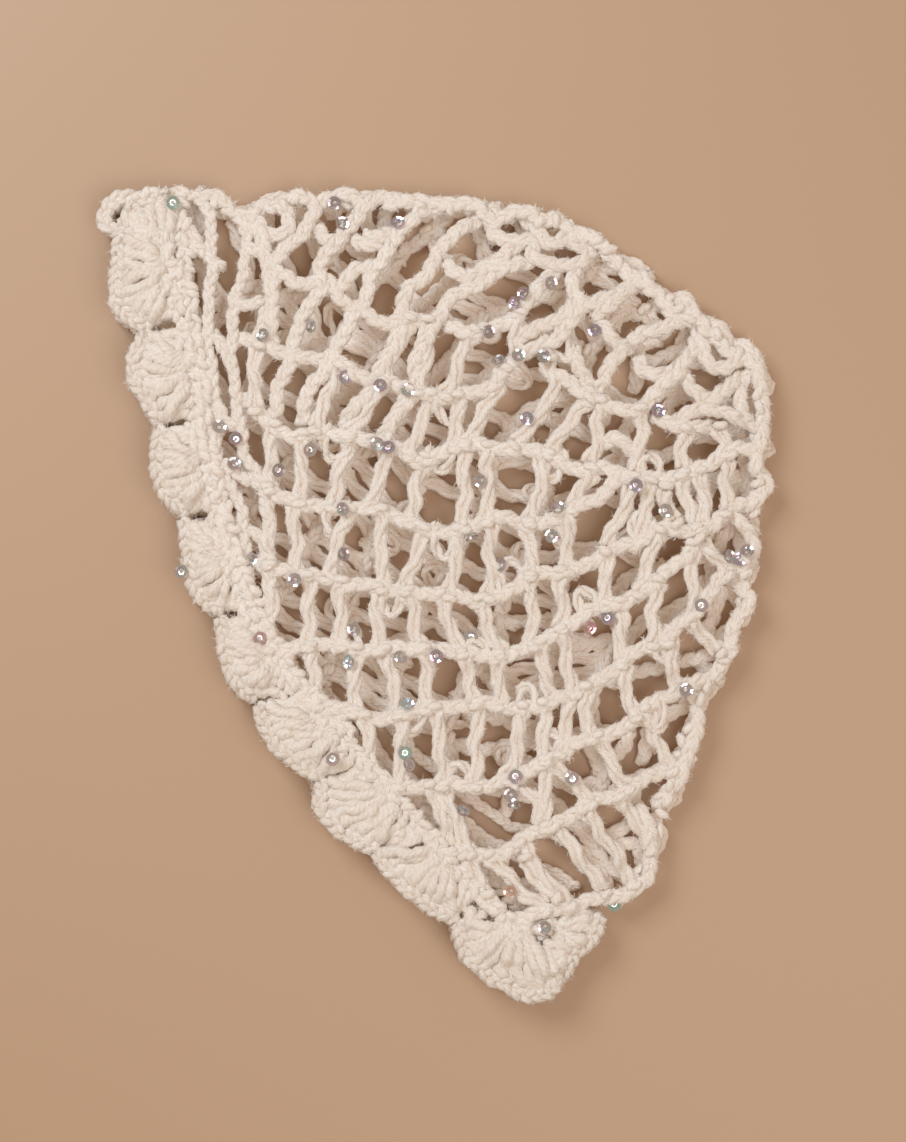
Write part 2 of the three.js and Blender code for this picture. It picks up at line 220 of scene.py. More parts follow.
# Posts that bend on their way, in squares
bentPosts = [
    [(47.4, 33.2), (46, 36), (44.6, 39.6)],
    [(52, 31.4), (51.4, 33.6), (51.8, 35.8)],
    [(55, 36), (55, 40), (53, 42.5), (51.5, 44.5)],
    [(63.2, 48.5), (62, 51.5), (60.5, 54.8)],
    [(65, 48.2), (64.4, 51), (64.3, 54)],
    [(66.5, 48.8), (66.4, 50.5), (67.5, 52.2)],
    [(68, 47.8), (68.6, 50), (69.5, 52.5)],
    [(70, 47.2), (70.4, 50), (70, 52.8)],
    [(72.7, 45.8), (72.6, 48.5), (72.5, 51.2)],
    [(70, 54), (71.4, 55.4), (72.8, 57.4)],
    [(66.8, 64.6), (67.2, 67), (68.2, 68.8)],
    [(69, 62), (70.2, 63.4), (72, 65.2)],
    [(51.5, 79), (53.4, 80), (54.5, 82.2)],
    [(46.5, 85.6), (48, 88), (50, 91.5)],
    [(49, 85.4), (51.4, 88.4), (54.5, 91)],
    [(52, 84.4), (54.4, 87.6), (57, 90.5)],
    [(52.6, 85.8), (53.6, 88), (55.5, 89.6)],
    [(55.5, 82.8), (58.2, 86), (60.5, 89.2)],
    [(58.5, 81), (61, 84.6), (63.5, 88.4)],
    [(62, 79.8), (63.6, 82.2), (65, 85)],
    [(58.8, 40), (56.8, 42.4), (54.8, 45.5)],
    [(60, 40.2), (59.8, 43), (59, 46.5)],
    [(64, 41), (64, 44.5), (63.5, 47.4)],
    [(68.5, 43), (68.2, 45), (68.3, 47)],
    [(72, 42.8), (72.2, 44.2), (73, 45.4)],
    [(26, 34.8), (25.4, 37.5), (25.6, 41)],
    [(34, 36.8), (32.8, 39.4), (31.6, 43)],
]

# Cup sequins on the net, in squares, with the colour of each one's gleam
sequinChart = {
    "silver": [(33.8, 21.7), (33.5, 20.2), (26.5, 33.7), (31.6, 33), (40.8, 39.1), (54.9, 28.4),
               (52.5, 29.5), (48.7, 33.3), (51.8, 35.8), (54.3, 35.8), (49, 35.5), (22, 42.8),
               (23.7, 44), (31.2, 45.5), (37.8, 44.5), (34.5, 50.8), (23.5, 46.5), (28.2, 47.7),
               (18.3, 57.2), (25, 55.8), (35.5, 56), (47.3, 54.5), (50.2, 56.5), (54.3, 53.8),
               (55.6, 50.7), (66.5, 51), (73, 55.7), (74.5, 55), (70, 60.5), (47, 63.5), (39.7, 65.8),
               (41, 76.5), (33.3, 75.7), (47, 81), (50.5, 80), (51.3, 81.5), (57.2, 77.8),
               (54.5, 92.5), (68.5, 69), (48, 47.8), (35.5, 62.8)],
    "lilac": [(39.7, 22.2), (38.1, 38.5), (50.4, 29.7), (59, 33.2), (51.5, 40.8), (38.8, 44.7),
              (63.5, 48.5), (65.7, 41.2), (29.5, 58.2), (43.7, 65.5), (51.5, 77.5), (60.9, 62.2),
              (34.5, 37.8), (73.8, 55.7)],
    "teal": [(17.3, 20.3), (40.5, 75.2), (61.3, 90.7)],
    "blue": [(34.6, 66), (40.7, 70.5)],
    "pink": [(58.7, 63.5), (26, 63.8)],
    "orange": [(50.8, 89)],
}
gleam = {
    "silver": (0.44, 0.38, 0.45), "lilac": (0.40, 0.29, 0.52), "teal": (0.28, 0.64, 0.60),
    "blue": (0.40, 0.58, 0.80), "pink": (0.80, 0.42, 0.50), "orange": (0.95, 0.52, 0.34),
}


def fromChart(points):
    # squares to millimetres in the frame
    across, down = np.asarray(points, float).T
    a = (across - chart["origin"][0]) * chart["square"]
    d = (down - chart["origin"][1]) * chart["square"]
    x = a * math.cos(chart["turn"]) + d * math.sin(chart["turn"])
    y = a * math.sin(chart["turn"]) - d * math.cos(chart["turn"])
    return np.column_stack([x, y]) + chart["middle"]


def smooth(points, perSpan=8):
    # a curve through all the points
    p = np.asarray(points, float)
    p = np.vstack([2 * p[0] - p[1], p, 2 * p[-1] - p[-2]])
    t = np.linspace(0, 1, perSpan, endpoint=False)[:, None]
    spans = []
    for a, b, c, d in zip(p[:-3], p[1:-2], p[2:-1], p[3:]):
        bend = a - 2.5 * b + 2 * c - d / 2
        twist = 1.5 * (b - c) + (d - a) / 2
        spans.append(b + (c - a) * t / 2 + bend * t**2 + twist * t**3)
    spans.append(p[-2:-1])
    return np.vstack(spans)


def lengthsAlong(line):
    return np.concatenate([[0], np.cumsum(np.linalg.norm(np.diff(line, axis=0), axis=1))])


def evenly(line, step):
    # the same line with its points a step apart
    along = lengthsAlong(line)
    at = np.linspace(0, along[-1], max(5, int(along[-1] / step) + 2))
    return np.column_stack([np.interp(at, along, line[:, k]) for k in range(line.shape[1])])


def unit(vectors):
    return vectors / np.maximum(np.linalg.norm(vectors, axis=-1, keepdims=True), 1e-9)


leftEdge = [(left, y) for y, left, right in crownEdges]
rightEdge = [(right, y) for y, left, right in crownEdges]
foldLine = evenly(smooth(leftEdge + [crownTip] + rightEdge[::-1]), 2.0) + chart["middle"]


def foldDistance(points):
    gaps = np.linalg.norm(points[:, None, :2] - foldLine[None], axis=2)
    return gaps.min(axis=1)


def topHeight(points):
    # underside of the top layer: low along the fold, level over the pocket
    t = np.clip(foldDistance(points) / underside["run"], 0, 1)
    return underside["folded"] + (underside["open"] - underside["folded"]) * t * t * (3 - 2 * t)


def otherSide(points):
    # the same place on the layer beneath, with its rows the other way round
    ys = [y + chart["middle"][1] for y, left, right in crownEdges] + [crownTip[1] + chart["middle"][1]]
    sums = [left + right for y, left, right in crownEdges] + [2 * crownTip[0]]
    total = np.interp(points[:, 1], ys, sums) + 2 * chart["middle"][0]
    return np.column_stack([total - points[:, 0], points[:, 1]])


def wander(along, size, reach):
    # a gentle drift from side to side, different each time, that comes back within the reach
    drift = np.zeros_like(along)
    for share in (1.0, 0.6, 0.35):
        drift += share * np.sin(along * 2 * math.pi / (reach * share) + rng.uniform(0, 2 * math.pi))
    return drift * size / 2


def joinedMesh(name, points, faces, material):
    # one piece of the hat, from faces that all have the same number of corners
    mesh = bpy.data.meshes.new(name)
    mesh.vertices.add(len(points))
    mesh.vertices.foreach_set("co", (points * mm).astype(np.float32).ravel())
    mesh.loops.add(faces.size)
    mesh.loops.foreach_set("vertex_index", faces.astype(np.int32).ravel())
    mesh.polygons.add(len(faces))
    firstLoops = np.arange(0, faces.size, faces.shape[1], dtype=np.int32)
    mesh.polygons.foreach_set("loop_start", firstLoops)
    mesh.update(calc_edges=True)
    mesh.polygons.foreach_set("use_smooth", np.ones(len(faces), dtype=bool))
    mesh.materials.append(material)
    obj = bpy.data.objects.new(name, mesh)
    bpy.context.collection.objects.link(obj)
    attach(obj, "root")
    print(name, len(faces) * (faces.shape[1] - 2), "triangles")
    return obj


class Skein:
    # gathers lengths of yarn into one mesh, with a UV map along and around each
    def __init__(self, sides, glow):
        self.sides = sides
        self.glow = glow  # how much painted glow the yarn gives, standing in for light through it
        self.points, self.faces, self.uvs = [], [], []
        self.shade, self.inner = [], []
        self.outs, self.ways = [], []
        self.count = 0

    def strand(self, line, radius, core, shade):
        # one yarn along a line; the side that faces its rope's core gets painted shade
        k = self.sides
        tangent = unit(np.gradient(line, axis=0))
        side = np.cross([0, 0, 1], tangent[0])
        if np.linalg.norm(side) < 0.1:
            side = np.array([1.0, 0, 0])
        sides = np.empty_like(line)
        for i, t in enumerate(tangent):
            side = side - t * (side @ t)
            side = side / np.linalg.norm(side)
            sides[i] = side
        over = np.cross(tangent, sides)
        angle = 2 * math.pi * np.arange(k) / k
        out = np.cos(angle)[None, :, None] * sides[:, None] + np.sin(angle)[None, :, None] * over[:, None]
        uneven = 1 + rng.normal(0, 0.06, (len(line), k))
        rings = line[:, None] + out * (radius[:, None] * uneven)[:, :, None]
        along = lengthsAlong(line)
        n = len(line)
        self.points.append(rings.reshape(-1, 3))
        self.outs.append(out.reshape(-1, 3))
        self.ways.append(np.repeat(tangent, k, axis=0))
        # painted shade on the side of each ring that faces the rope's core
        toCore = unit(core - line) if core is not None else np.zeros_like(line)
        self.inner.append(np.clip((out * toCore[:, None]).sum(axis=2), 0, 1).reshape(-1))
        self.shade.append(np.full(n * k, shade))
        i, j = np.meshgrid(np.arange(n - 1), np.arange(k), indexing="ij")
        nextJ = (j + 1) % k
        quads = np.stack([i * k + j, i * k + nextJ, (i + 1) * k + nextJ, (i + 1) * k + j], axis=-1)
        self.faces.append(quads.reshape(-1, 4) + self.count)
        u = along / 10 + rng.uniform(0, 40)
        uv = np.stack([
            np.stack([u[i], j / k], axis=-1), np.stack([u[i], (j + 1) / k], axis=-1),
            np.stack([u[i + 1], (j + 1) / k], axis=-1), np.stack([u[i + 1], j / k], axis=-1),
        ], axis=-2)
        self.uvs.append(uv.reshape(-1, 2))
        self.count += n * k

    def piece(self, name, nodes, slot, material):
        points = np.concatenate(self.points)
        points[:, 2] = np.maximum(points[:, 2], 0.05)  # flattened where it rests on the floor
        obj = joinedMesh(name, points, np.concatenate(self.faces), material)
        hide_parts(*nodes)
        uvMap = obj.data.uv_layers.new(name="along")
        uvMap.data.foreach_set("uv", np.concatenate(self.uvs).astype(np.float32).ravel())
        glow = [np.full(len(points), self.glow)]
        for label, values in (("shade", self.shade), ("inner", self.inner), ("glow", glow)):
            attribute = obj.data.attributes.new(label, "FLOAT", "POINT")
            attribute.data.foreach_set("value", np.concatenate(values).astype(np.float32))


# How the yarn lies in each kind of rope: radius of one yarn and of the yarn in the middle, how far the
# yarns stand from the middle, sideways and upwards, and the length in which they go round once
chain = {"yarns": 3, "radius": 1.13, "core": 1.6, "sideways": 1.28, "upwards": 0.5, "pitch": 12.5,
         "braided": True, "step": 0.95, "drift": 0.9, "driftReach": 21}
post = {"yarns": 3, "radius": 1.15, "core": 1.35, "sideways": 1.15, "upwards": 0.6, "pitch": 34.0,
        "braided": False, "step": 1.1, "drift": 0.9, "driftReach": 15}
strandRope = {"yarns": 3, "radius": 1.05, "core": 1.3, "sideways": 0.95, "upwards": 0.5, "pitch": 11.0,
              "braided": True, "step": 1.0, "drift": 0.6, "driftReach": 15}

# Lengths at a rope's ends over which it flares, is drawn together and closes to a tip
ropeEnds = {"flare": 2.6, "narrow": 7, "tip": 0.9}


def rope(skein, line, kind, flare=0.0, narrow=0.0, paintedLightAndTone=0.0):
    # line is the middle of the rope; flare spreads both ends, and narrow draws the first one together
    line = evenly(line, kind["step"])
    along = lengthsAlong(line)
    tangent = unit(np.gradient(line, axis=0))
    flatSide = np.cross([0, 0, 1], tangent)
    side = unit(flatSide)
    steep = np.linalg.norm(flatSide, axis=1) < 0.25
    for i in np.flatnonzero(steep):
        side[i] = side[i - 1] if i else side[i]
    over = unit(np.cross(tangent, side))
    line = line + side * wander(along, kind["drift"], kind["driftReach"])[:, None]
    line[:, 2] += wander(along, kind["drift"] * 0.7, kind["driftReach"])
    start = rng.uniform(0, 2 * math.pi)
    toEnd = np.minimum(along, along[-1] - along)
    flaring = flare * np.exp(-((toEnd / ropeEnds["flare"]) ** 2))
    spread = 1 + flaring - narrow * np.exp(-((along / ropeEnds["narrow"]) ** 2))
    taper = np.clip(0.01 + toEnd / ropeEnds["tip"], 0, 1) ** 0.6
    # painted light added to the rope's random tone: lighter on the under layer, darker on the shells
    ropeShade = rng.uniform(0.3, 0.7) + paintedLightAndTone
    turn = 1 if rng.uniform() < 0.7 else -1
    if kind["core"]:
        skein.strand(line - over * 0.25, kind["core"] * taper, None, ropeShade)
    for yarn in range(kind["yarns"]):
        angle = start + turn * 2 * math.pi * along / kind["pitch"] + 2 * math.pi * yarn / kind["yarns"]
        sway = kind["sideways"] * (np.sin(angle) if kind["braided"] else np.cos(angle))
        rise = kind["upwards"] * (np.sin(2 * angle) if kind["braided"] else np.sin(angle))
        swell = (1 + wander(along, 0.2, 7)) * (0.6 + 0.4 * spread.clip(0, 1)) * (1 + 0.25 * flaring)
        middle = line + side * (sway * spread)[:, None] + over * rise[:, None]
        for end in (-1, 0):
            middle[end] = middle[end] + (line[end] - middle[end]) * 0.4
        core = line if kind["yarns"] > 1 else middle - over * 3  # one yarn alone gets painted shade on its underside
        yarnShade = ropeShade + rng.uniform(-0.15, 0.15)
        skein.strand(middle, kind["radius"] * taper * swell, core, yarnShade)


def lay(points, layer, lift):
    # a charted route put on a layer, lift above its underside
    flat = smooth(fromChart(points))
    if layer == "under":
        flat = otherSide(flat)
        heights = np.full(len(flat), lift)
    else:
        heights = topHeight(flat) + lift
    return np.column_stack([flat, heights])


def rowPoint(name, across):
    # where a row is at a square across
    down = np.interp(across, [p[0] for p in rowChart[name]], [p[1] for p in rowChart[name]])
    return (across, float(down))


# Ropes that end this near to the fold turn over it, unless they run along it, down to this height
turning = {"reach": 9, "slant": 0.45, "low": 2.6}


def turnOver(line):
    # carries a rope of the top layer round the fold and a little way back beneath
    for end, before in ((0, 6), (-1, -7)):  # an end, and the point that its heading is taken from
        place = np.linalg.norm(foldLine - line[end, :2], axis=1).argmin()
        near = foldLine[place]
        tangent = unit(foldLine[min(place + 1, len(foldLine) - 1)] - foldLine[max(place - 1, 0)])
        inward = np.array([tangent[1], -tangent[0]])
        heading = unit(line[end, :2] - line[before, :2])
        if np.linalg.norm(near - line[end, :2]) > turning["reach"] or heading @ inward > -turning["slant"]:
            continue
        high, low = line[end, 2], turning["low"]
        drift = tangent * rng.uniform(-2, 2)
        more = smooth([
            line[end],
            [*(near + inward * 1.5), high - 0.5],
            [*(near - inward * 0.4), (high + low) / 2],
            [*(near + inward * 1.5), low + 0.3],
            [*(near + inward * 6 + drift / 2), low],
            [*(near + inward * 11 + drift), low],
        ])[1:]
        line = np.vstack([more[::-1], line]) if end == 0 else np.vstack([line, more])
    return line


# Middles of the ropes above the underside of their layer
lifts = {
    "top": {"row": 2.5, "post": 1.9, "strand": 2.0},
    "under": {"row": 2.7, "post": 2.2, "strand": 2.3},
}


def knob(skein, centre, direction, height, size=1.0):
    # a soft lump of yarn, lying along the direction, with painted shade on its underside
    half = size * rng.uniform(1.9, 2.6)
    t = np.linspace(-1, 1, 7)
    across = np.array([-direction[1], direction[0]]) * rng.uniform(-0.5, 0.5)
    flat = centre + direction * t[:, None] * half + across * (t**2)[:, None]
    line = np.column_stack([flat, height - 1.1 * size * t**2])
    radius = size * rng.uniform(1.15, 1.35) * (1 - 0.96 * t**6)
    core = line - [0, 0, 2]
    skein.strand(line, radius, core, rng.uniform(0.35, 0.75))


# Slack loops of thin yarn beside the rows: how far apart on a layer, and how far each rises
slack = {
    "rows": ("first", "second", "third", "fourth", "fifth", "sixth", "seventh"),
    "apart": {"top": 40, "under": 27},
    "rise": {"top": -1.5, "under": 1.2},
}
slackYarn = {"yarns": 2, "radius": 0.95, "core": 0, "sideways": 0.7, "upwards": 0.6, "pitch": 14.0,
             "braided": False, "step": 1.1, "drift": 0.5, "driftReach": 11}


def slackLoop(skein, spot, way, rise):
    t = np.linspace(-0.4, math.pi + 0.4, 9)[:, None]
    across = np.array([-way[1], way[0]]) * rng.choice([-1, 1])
    shift = way * rng.uniform(-5, 5)
    wide, long = rng.uniform(2.6, 4.2), rng.uniform(5, 8.5)
    flat = spot[:2] + shift + way * np.cos(t) * wide + across * np.sin(t) * long
    rope(skein, np.column_stack([flat, spot[2] + rise * np.sin(t).clip(0, 1)]), slackYarn, paintedLightAndTone=0.2)


class Wire:
    # an output of a node: sums and products of wires add Math nodes
    def __init__(self, tree, socket=None):
        self.tree = tree
        self.socket = socket

    def node(self, kind, settings, sockets, output=0):
        made = self.tree.nodes.new("ShaderNode" + kind)
        for name, value in settings.items():
            if name == "stops":
                for i, (place, shade) in enumerate(value):
                    stop = made.color_ramp.elements[i] if i < 2 else made.color_ramp.elements.new(place)
                    stop.position = place
                    stop.color = (*shade, 1)
            else:
                setattr(made, name, value)
        for name, value in sockets.items():
            if isinstance(value, Wire):
                self.tree.links.new(value.socket, made.inputs[name])
            else:
                made.inputs[name].default_value = value
        return Wire(self.tree, made.outputs[output])

    def math(self, operation, *values):
        return self.node("Math", {"operation": operation}, dict(enumerate(values)))

    def __add__(self, other):
        return self.math("ADD", self, other)

    def __radd__(self, other):
        return self.math("ADD", other, self)

    def __sub__(self, other):
        return self.math("SUBTRACT", self, other)

    def __rsub__(self, other):
        return self.math("SUBTRACT", other, self)

    def __mul__(self, other):
        return self.math("MULTIPLY", self, other)

    def __rmul__(self, other):
        return self.math("MULTIPLY", other, self)

    def mixColour(self, factor, first, second):
        sockets = {0: factor, 6: first, 7: second}
        return self.node("Mix", {"data_type": "RGBA"}, sockets, 2)


def newMaterial(name):
    material = bpy.data.materials.new(name)
    material.use_nodes = True
    tree = material.node_tree
    tree.nodes.clear()
    return material, Wire(tree)


def surface(wire, sockets):
    # the shader of a material, with the values and wires of its sockets
    shader = wire.node("BsdfPrincipled", {}, sockets)
    out = wire.tree.nodes.new("ShaderNodeOutputMaterial")
    wire.tree.links.new(shader.socket, out.inputs["Surface"])


# Cotton yarn: its colours, the painted shade in its grooves, the painted glow that stands in for light
# through it, and the twisted threads that it is made of
yarnLook = {
    "cream": (0.88, 0.855, 0.835, 1), "pale": (0.965, 0.975, 0.99, 1), "deep": (0.60, 0.38, 0.21, 1),
    "glow": (1, 0.62, 0.36, 1), "threads": 4, "threadTurns": 1.6, "fibre": 0.0004,
}


def yarnMaterial():
    material, wire = newMaterial("cottonYarn")
    uv = wire.node("UVMap", {"uv_map": "along"}, {})
    split = wire.tree.nodes.new("ShaderNodeSeparateXYZ")
    wire.tree.links.new(uv.socket, split.inputs[0])
    along = Wire(wire.tree, split.outputs[0])
    around = Wire(wire.tree, split.outputs[1])
    shade = wire.node("Attribute", {"attribute_name": "shade"}, {}, 2)
    inner = wire.node("Attribute", {"attribute_name": "inner"}, {}, 2)
    glow = wire.node("Attribute", {"attribute_name": "glow"}, {}, 2)
    place = wire.node("TexCoord", {}, {}, 3)
    fuzz = wire.node("TexNoise", {}, {"Vector": place, "Scale": 900.0, "Detail": 4.0, "Roughness": 0.6})
    patch = wire.node("TexNoise", {}, {"Vector": place, "Scale": 110.0, "Detail": 3.0})
    stretched = wire.node("CombineXYZ", {}, {0: along * 1.6, 1: around * 3.2, 2: shade * 9.0})
    fibreNoise = {"Vector": stretched, "Scale": 2.6, "Detail": 5.0, "Roughness": 0.65}
    fibres = wire.node("TexNoise", {}, fibreNoise)
    streaks = (fibres - 0.5) * 2.2 + 0.5
    threads = (around + along * yarnLook["threadTurns"]) * (2 * math.pi * yarnLook["threads"])
    ridges = wire.math("SINE", threads + fibres * 3.0) * 0.5 + 0.5
    height = ridges * 0.28 + streaks * 0.6 + fuzz * 0.6
    bump = wire.node("Bump", {}, {"Strength": 0.9, "Distance": yarnLook["fibre"], "Height": height})
    # mixes cream and pale by each rope's random tone and its painted light
    colour = wire.mixColour(shade * 0.8 + patch * 0.5 - 0.2, yarnLook["cream"], yarnLook["pale"])
    # painted shade: darker in the grooves between threads, along the low fibre streaks and on the side
    # that faces the rope's core
    paintedShade = (1 - ridges) * 0.12 + inner * 0.5 + (1 - streaks) * 0.24
    colour = wire.mixColour(wire.math("MINIMUM", paintedShade, 0.8), colour, yarnLook["deep"])
    # painted glow: emission that stands in for light coming through the yarn, strongest on the under layer
    paintedGlowColour = wire.mixColour(glow, (0, 0, 0, 1), yarnLook["glow"])
    surface(wire, {
        "Base Color": colour, "Roughness": 0.9, "Normal": bump, "Specular IOR Level": 0.2,
        "Sheen Weight": 0.25, "Sheen Roughness": 0.5,
        "Emission Color": paintedGlowColour, "Emission Strength": 0.15,
    })
    return material


cottonYarn = yarnMaterial()

# What sets the layers apart: faces round a yarn, spacing of its rings, painted glow that stands in for
# light through it, and painted light that makes a layer paler
layerYarn = {
    "top": {"sides": 7, "ringScale": 1.0, "glow": 0.2, "paintedLightAndTone": 0.0},
    "under": {"sides": 5, "ringScale": 1.5, "glow": 0.5, "paintedLightAndTone": 0.35},
}
knobSpacing = {"brim": 3.3, "fold": 4.5}
rowEnds = {"dip": 2, "run": 4}  # each end goes under what it meets


def layRows(rows, layer, kind, paintedLightAndTone):
    for points in list(rowChart.values()) + list(ropeChart.values()):
        line = lay(points, layer, lifts[layer]["row"])
        along = lengthsAlong(line)
        toEnd = np.minimum(along, along[-1] - along)
        line[:, 2] -= rowEnds["dip"] * np.exp(-((toEnd / rowEnds["run"]) ** 2))
        rope(rows, turnOver(line) if layer == "top" else line, kind, paintedLightAndTone=paintedLightAndTone)


def layStrands(strands, layer, kind):
    # on the under layer they start a point further on, so that their ends stay out of sight
    first = 0 if layer == "top" else 1
    for name, points in strandChart.items():
        if layer == "under" and (name == "cornerEdge" or len(points) < 4):
            continue
        line = lay(points[first:], layer, lifts[layer]["strand"])
        rope(strands, turnOver(line) if layer == "top" else line, kind)
    for name in ("hubs", "hem"):
        line = evenly(lay(strandChart[name][first:], layer, lifts[layer]["strand"]), knobSpacing["brim"])
        ways = unit(np.gradient(line[:, :2], axis=0))
        for spot, way in zip(line, ways):
            for hand in (-1, 1):
                across = np.array([-way[1], way[0]]) * hand
                slanted = unit(across * rng.uniform(-0.2, 1.2) + way * rng.uniform(0.3, 1.3))
                place = spot[:2] + across * rng.uniform(0.6, 1.7) + way * rng.uniform(-1.2, 1.2)
                knob(strands, place, slanted, spot[2] + rng.uniform(0.6, 1.5), rng.uniform(0.8, 1.2))


def layPosts(rows, posts, layer, kind, paintedLightAndTone):
    # each post spreads where it meets a row, under a lump of yarn that lies along the row
    routes = []
    for upper, lower, pairs in postChart:
        routes += [[rowPoint(upper, start), rowPoint(lower, end)] for start, end in pairs]
        if layer == "under":
            for (a, b), (c, d) in zip(pairs[::2], pairs[1::2]):
                routes.append([rowPoint(upper, (a + c) / 2), rowPoint(lower, (b + d) / 2)])
    for route in routes + bentPosts:
        first, last = np.array(route[0]), np.array(route[-1])
        bow = np.array([rng.uniform(-0.22, 0.22), 0])
        points = [first, (first + last) / 2 + bow, last] if len(route) == 2 else route
        line = lay(points, layer, lifts[layer]["post"])
        rope(posts, line, kind, flare=0.8, paintedLightAndTone=paintedLightAndTone)
        for end, towards in ((0, 3), (-1, -4)):
            along = unit(line[towards, :2] - line[end, :2])
            rowWay = np.array([-along[1], along[0]])
            knob(rows, line[end, :2] - along * 0.6, rowWay, line[end, 2] + 1.9)


def layFold(rows):
    # lumps of yarn a little inside the fold, each turned its own way
    for spot in evenly(foldLine[4:-4], knobSpacing["fold"])[1:-1]:
        inwards = unit(np.array([0, -20]) - spot)
        way = unit(rng.normal(0, 1, 2))
        place = spot + inwards * rng.uniform(1.2, 3)
        knob(rows, place, way, underside["folded"] + rng.uniform(0.5, 4), 1.05)


def laySlack(posts, layer):
    # loops at even spaces along the rows, each moved a little by chance
    for name in slack["rows"]:
        line = evenly(lay(rowChart[name], layer, lifts[layer]["row"]), slack["apart"][layer])
        ways = unit(np.gradient(line[:, :2], axis=0))
        for spot, way in zip(line[1:-1], ways[1:-1]):
            slackLoop(posts, spot, way, slack["rise"][layer])


netSkeins, brimSkeins = [], []
for layer, look in layerYarn.items():
    kinds = [dict(kind, step=kind["step"] * look["ringScale"]) for kind in (chain, post, strandRope)]
    rows, posts, strands = [Skein(look["sides"], look["glow"]) for _ in kinds]
    layRows(rows, layer, kinds[0], look["paintedLightAndTone"])
    layStrands(strands, layer, kinds[2])
    layPosts(rows, posts, layer, kinds[1], look["paintedLightAndTone"])
    if layer == "top":
        layFold(rows)
        netSkeins += [rows, posts]
        brimSkeins.append(strands)
    laySlack(posts, layer)
    rows.piece(f"rows_{layer}", ["crown_net"], "crown_yarn", cottonYarn)
    posts.piece(f"posts_{layer}", ["crown_net"], "crown_yarn", cottonYarn)
    strands.piece(f"brim_strands_{layer}", ["crown_net"], "crown_yarn", cottonYarn)

# Shells round the brim, in squares: the stitch that each fan is worked into, and its outer edge
shellChart = {
    "corner_left": {"hub": (15.8, 25.4), "rim": [(17, 19.3), (14.6, 19.2), (12.6, 20.4), (12.2, 22.6)],
                    "loop": [(15, 19.9), (12.2, 19.8), (10.8, 20.6), (10.4, 21.8), (11, 22.9),
                             (12.1, 23.2), (12.9, 22.2), (13, 20.9)]},
    "1": {"hub": (17, 27.2),
          "rim": [(12, 23.6), (11.5, 25.4), (11.1, 28), (11.2, 30.6), (12.9, 32.4), (14.8, 33)]},
    "2": {"hub": (19, 37.3), "rim": [(14.6, 33), (13, 35.6), (12.8, 38), (14.6, 40.7), (16, 42.5)]},
    "3": {"hub": (20.3, 46.8), "rim": [(16, 42.7), (15.3, 45), (15.2, 47), (16, 49.5), (18.4, 51.6)]},
    "4": {"hub": (23, 56.6), "rim": [(18.4, 51.8), (18.4, 54.5), (18.4, 57), (19.2, 59.4), (21.9, 61.4)]},
    "5": {"hub": (27, 65.6), "rim": [(22, 61.6), (22, 65), (22.8, 68), (25.2, 70)]},
    "6": {"hub": (33.2, 72.9), "rim": [(25.8, 70.3), (26.2, 73.2), (27.8, 75.6), (30, 77), (31.9, 78)]},
    "7": {"hub": (39.4, 79.6), "rim": [(31.8, 78), (31.6, 80.8), (32.8, 82.8), (35, 84.3), (37.3, 85)]},
    "8": {"hub": (44.4, 85.6), "rim": [(37.4, 85), (38.4, 87), (40.2, 89.2), (42.3, 90.8), (45.6, 92.2)]},
    "9": {"hub": (51.6, 92.7),
          "rim": [(45.6, 92.2), (46, 95.2), (47.8, 97.5), (50.3, 99), (53, 100), (54.8, 99.6),
                  (56.2, 97.9)]},
    "corner_right": {"hub": (55.4, 93.2),
                     "rim": [(56.2, 97.9), (57.4, 96.6), (58.6, 95.2), (60.1, 93.6), (60, 91.6)],
                     "plain": True},
}
fanForm = {
    "spacing": 3.8,  # from one stitch to the next along the edge
    "rootSpread": 5,  # from the first stitch to the last, where they are worked in
    "inset": 2.1,  # from the outer edge to the middle of its chain
    "heights": (2.1, 4.2, 3.7, 1.9),  # of a stitch at its root, at its crown, past that and at its tip
    "knobs": 16,  # lumps of yarn over the roots
}
fan = {"yarns": 1, "radius": 1.9, "core": 0, "sideways": 0.3, "upwards": 0.3, "pitch": 9.0,
       "braided": False, "step": 0.9, "drift": 0.35, "driftReach": 8}
edging = {"yarns": 3, "radius": 1.25, "core": 1.2, "sideways": 1.35, "upwards": 0.85, "pitch": 9.5,
          "braided": True, "step": 0.95, "drift": 0.5, "driftReach": 10}


